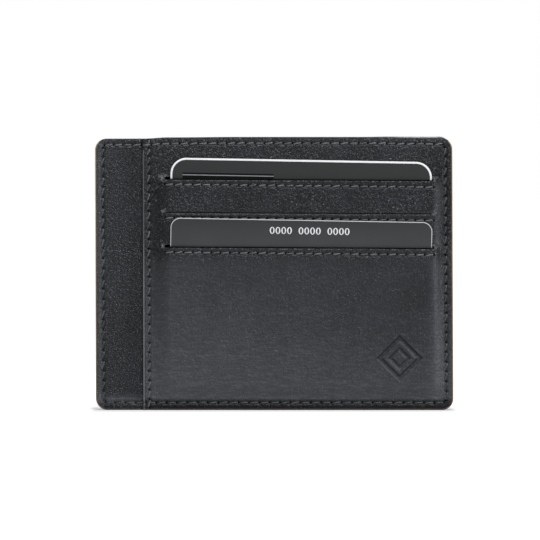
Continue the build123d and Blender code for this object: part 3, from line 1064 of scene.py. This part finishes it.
def card_board(card, corner, material):
    """A card with rounded corners and a softly bevelled rim."""
    half_w, half_h = CARD_W / 2, CARD_H / 2
    s_lines, t_lines = card_lines(half_w, corner), card_lines(half_h, corner)
    s, t = (part.ravel() for part in np.meshgrid(s_lines, t_lines))
    inward = np.minimum(half_w - np.abs(s), half_h - np.abs(t))
    s, t = onto_round(s, t, (-half_w, -half_h), (half_w, half_h), corner)
    face = CARD_T / 2 - rounding(inward, CARD_BEVEL)
    faces, _ = closed_faces(grid_faces(np.arange(len(s)).reshape(len(t_lines), len(s_lines))), len(s))
    card.add(
        "board", np.concatenate([card.place(s, t, face), card.place(s, t, -face)]), faces, material,
        replaced=[card.name],
        attributes={"inward": np.tile(inward, 2), "fallen": np.tile(0.5 - t / CARD_H, 2)},
    )


def ink_slab(card, piece, s_ends, t_ends, ink):
    """A rectangle of ink."""
    s = [s_ends[k] for k in (0, 1, 1, 0)] * 2
    t = [t_ends[k] for k in (0, 0, 1, 1)] * 2
    n = [CARD_T / 2 + INK_T] * 4 + [CARD_T / 2 - INK_SUNK] * 4
    sides = [[k, k + 4, (k + 1) % 4 + 4, (k + 1) % 4] for k in range(4)]
    card.add(piece, card.place(s, t, n), np.array([[0, 1, 2, 3], [7, 6, 5, 4]] + sides), ink, soft=False)


def ink_nought(card, center, width, height, count):
    """The points of an upright ring of ink, in four rings: its top face and then its foot."""
    angle = np.linspace(0, 2 * math.pi, count, endpoint=False)
    top, foot = CARD_T / 2 + INK_T, CARD_T / 2 - INK_SUNK
    rings = []
    for wide, high, n in ((0.84, 1, top), (0.40, 0.80, top), (0.40, 0.80, foot), (0.84, 1, foot)):
        s = center[0] + width / 2 * wide * np.cos(angle)
        t = center[1] + height / 2 * high * np.sin(angle)
        rings.append(card.place(s, t, np.full(count, n)))
    return np.concatenate(rings)


def ink_number(card, piece, center, width, height, ink, groups=3, per_group=4, count=28):
    """A row of noughts in groups, like a blank account number."""
    cells = groups * per_group + groups - 1
    advance = width / cells
    noughts = [
        ink_nought(card, (center[0] - width / 2 + advance * (cell + 0.5), center[1]), advance, height, count)
        for cell in range(cells) if cell % (per_group + 1) < per_group
    ]
    card.add(piece, *copies(noughts, ring_faces(4, count, closed=True)), ink, soft=False)


upper, lower = Card("upper_card", "upper_card_slide"), Card("lower_card", "lower_card_slide")
card_board(upper, 5.2, upper_board)
card_board(lower, 3.2, lower_board)
ink_number(lower, "digits", (2.7, CARD_H / 2 - 3.55), 26.4, 2.3, white_ink)
# a box of ink below a thin line, measured down from the card's top edge
for piece, foot, top, ink in (
    ("band", 5.4, 4.8, black_ink), ("line", 5.7, 5.4, pale_ink), ("patch", 14.0, 5.7, black_ink)
):
    ink_slab(upper, piece, (4.0 - CARD_W / 2, 33.8 - CARD_W / 2), (CARD_H / 2 - foot, CARD_H / 2 - top), ink)

# ------------------------------------------------------------------ build: cloth inside
LINING, PLY = 0.17, 0.1  # thickness of the linings and of the pockets' cloth
GAP = 0.03  # between a lining and its leather
LINING_SIDE = 4.6  # from the outline to the linings' sides and foot
HEM_V = HEIGHT - 5.0  # from here up the linings are folded over at the note pocket's mouth


def hem_thickness(v):
    """The lining's thickness: more where its hem is folded."""
    return LINING * (0.7 + 0.5 * smooth((v - HEM_V) / 0.4))


lining_columns = graded([(LEFT + LINING_SIDE, 0.8), (RIGHT - LINING_SIDE, 1)])
lining_rows = graded([(LINING_SIDE, 1.4), (HEM_V - 0.6, 0.1), (HEM_V + 0.6, 0.4), (HEIGHT - 0.5, 1)])


def lining(name, against, side):
    """A lining that lies against one leather face; side is -1 if its room is behind it."""
    def near_skin(u, v, band):
        return u, against(u, v) + side * GAP, v - droop(u, v)

    def far_skin(u, v, band):
        ripple = 0.02 * waves(u, v, 9, 31) * smooth((HEIGHT - 1 - v) / 4)
        return u, against(u, v) + side * (GAP + hem_thickness(v) + np.abs(ripple)), v - droop(u, v)

    skins = (near_skin, far_skin) if side < 0 else (far_skin, near_skin)
    sheet(name + "_cloth", lining_columns, [lining_rows], *skins, [lining_cloth], "holder",
          "lining_fabric", [name])


lining("inner_lining", lambda u, v: np.full_like(u, -LEATHER), -1)
lining("back_lining", back_front, 1)

# ------------------------------------------------------------------ build: card pockets
FLOOR_TURN = 0.15  # height of the turned floor of a bag


def pocket(name):
    """A flat bag of thin cloth behind a slot: its rear wall, its turned floor and its front wall."""
    low, high = box_mm(name)
    tree = cad_tree(name)
    foot, top = low[2] + FLOOR_TURN, high[2] - 0.05
    mouth = min(SLOTS, key=lambda slot: abs(slot - top)) - LIP_GAP / 2

    def wall(v, side):
        """Depth of the middle of the wall that is hit first from one side, -1 the front, 1 the rear."""
        start = Vector((SLOT_MID * MM, side * 0.1, v * MM))
        hit = tree.ray_cast(start, Vector((0, -side, 0)))[0]
        return FACE_Y - hit.y / MM + side * PLY / 2

    path = [(wall(v, 1), v, -1.0, 0.0) for v in np.linspace(top, foot, 40)]
    rear, front = wall(foot, 1), wall(foot, -1)
    for angle in np.linspace(math.pi, 2 * math.pi, 7)[1:-1]:
        out, down = math.cos(angle), math.sin(angle)
        depth = (rear + front) / 2 + (front - rear) / 2 * out
        path.append((depth, foot + FLOOR_TURN * 0.6 * down, out, down))
    path += [(wall(v, -1), v, 1.0, 0.0) for v in np.linspace(foot, mouth, 40)]
    path = np.array(path)
    steps = np.arange(len(path), dtype=float)

    def skin(side):
        def at(u, step, band):
            depth, v, out, down = (np.interp(step, steps, path[:, i]) for i in range(4))
            return u, (depth + side * out * PLY / 2) * side_swell(u), v + side * down * PLY / 2
        return at

    columns = graded([
        (SLOT_LEFT + 0.3, 0.4), (SLOT_LEFT + 2.5, 2.0), (SLOT_RIGHT - 2.5, 0.4), (SLOT_RIGHT - 0.3, 1),
    ])
    sheet(name + "_cloth", columns, [steps], skin(1), skin(-1), [pocket_cloth], "holder",
          "pocket_fabric", [name])


for name in ("upper_pocket", "middle_pocket", "lower_pocket"):
    pocket(name)

# ------------------------------------------------------------------ floor, light and camera
def build_floor():
    look = Look("studio_floor")
    # the floor glows for the camera alone, painted brightness that at a low angle stands in for the bright
    # room it would shine back; right under the holder the glow drops, a painted shadow
    away = look.vector("SUBTRACT", look.vector("ABSOLUTE", look.place), (RIGHT * MM, 0.004, 1))
    away = look.vector("MAXIMUM", away)
    distance = look.vector("LENGTH", away, output="Value")
    sideways = look.vector("LENGTH", look.vector("MULTIPLY", away, (7, 1, 1)), output="Value")
    incoming = look.add("NewGeometry").outputs["Incoming"]
    steepness = look.add("SeparateXYZ", {"Vector": incoming}).outputs["Z"]
    high_glow = look.ramp(distance, [(0.0, grey(0.12)), (0.05, grey(0.42)), (0.6, grey(0.9))])
    low_glow = look.ramp(sideways, [(0.0, grey(0.25)), (0.008, grey(0.42)), (0.032, grey(0.9))])
    glow = look.blend(look.fade(steepness, 0.09, 0.25, 1.0, 0.0), high_glow, low_glow)
    seen = look.add("LightPath").outputs["Is Camera Ray"]
    look.feed(look.surface, {"Emission Color": grey(1), "Emission Strength": look.times(seen, glow)})
    bpy.ops.mesh.primitive_plane_add(size=60.0, location=(0, 0, -0.00002))
    floor = bpy.context.object
    floor.name = "floor"
    floor.data.materials.append(look.finished(grey(0.80), 0.9))


def build_world():
    """A white room to the camera, dim and darker in front for everything else."""
    world = bpy.data.worlds.new("studio")
    bpy.context.scene.world = world
    world.use_nodes = True
    room_light = Nodes(world.node_tree)
    direction = room_light.add("TexCoord").outputs["Generated"]
    split = room_light.add("SeparateXYZ", {"Vector": direction})
    front = room_light.number("MULTIPLY", split.outputs["Y"], -1.0, clamp=True)
    stops = [(0.0, grey(1.0)), (0.45, grey(0.5)), (0.72, grey(0.16)), (0.92, grey(0.06))]
    lit = room_light.times(room_light.ramp(front, stops), 0.32)
    seen = room_light.add("LightPath").outputs["Is Camera Ray"]
    # sockets 2 and 3 are the two numbers of a Mix node
    strength = room_light.add("Mix", {0: seen, 2: lit, 3: 1.0}, data_type="FLOAT").outputs[0]
    background = room_light.add("Background", {"Color": grey(1), "Strength": strength})
    room_light.add("OutputWorld", {"Surface": background.outputs[0]})


def build_light(name, place, size, power, target=(0, 0, HEIGHT * MM / 2)):
    data = bpy.data.lights.new(name, "AREA")
    data.size = size
    data.energy = power
    data.color = (0.93, 0.96, 1.0)
    light = bpy.data.objects.new(name, data)
    bpy.context.scene.collection.objects.link(light)
    light.location = place
    light.rotation_euler = (Vector(target) - Vector(place)).to_track_quat("-Z", "Y").to_euler()


def build_camera():
    """Nearly flat-on, as a shop photograph: far away, a long lens, one degree above the middle."""
    distance, elevation, field = 1.5, math.radians(1.0), 0.1770
    target = Vector((-0.00118, FACE_Y * MM, HEIGHT * MM / 2 + 0.00115))
    data = bpy.data.cameras.new("camera")
    data.sensor_width = 36.0
    data.lens = data.sensor_width * distance / field
    data.clip_end = 50
    camera = bpy.data.objects.new("camera", data)
    bpy.context.scene.collection.objects.link(camera)
    camera.location = target + Vector((0, -math.cos(elevation), math.sin(elevation))) * distance
    camera.rotation_euler = (target - camera.location).to_track_quat("-Z", "Y").to_euler()
    bpy.context.scene.camera = camera


build_floor()
build_world()
build_light("top_front", (0.12, -0.90, 0.75), 0.22, 4.0)
build_light("right_side", (0.95, -0.60, 0.20), 0.22, 3.2)
build_light("floor_pool", (0.05, -0.32, 0.55), 0.40, 1.9, (0.05, -0.30, 0.0))
build_camera()
bpy.context.scene.view_settings.view_transform = "Standard"
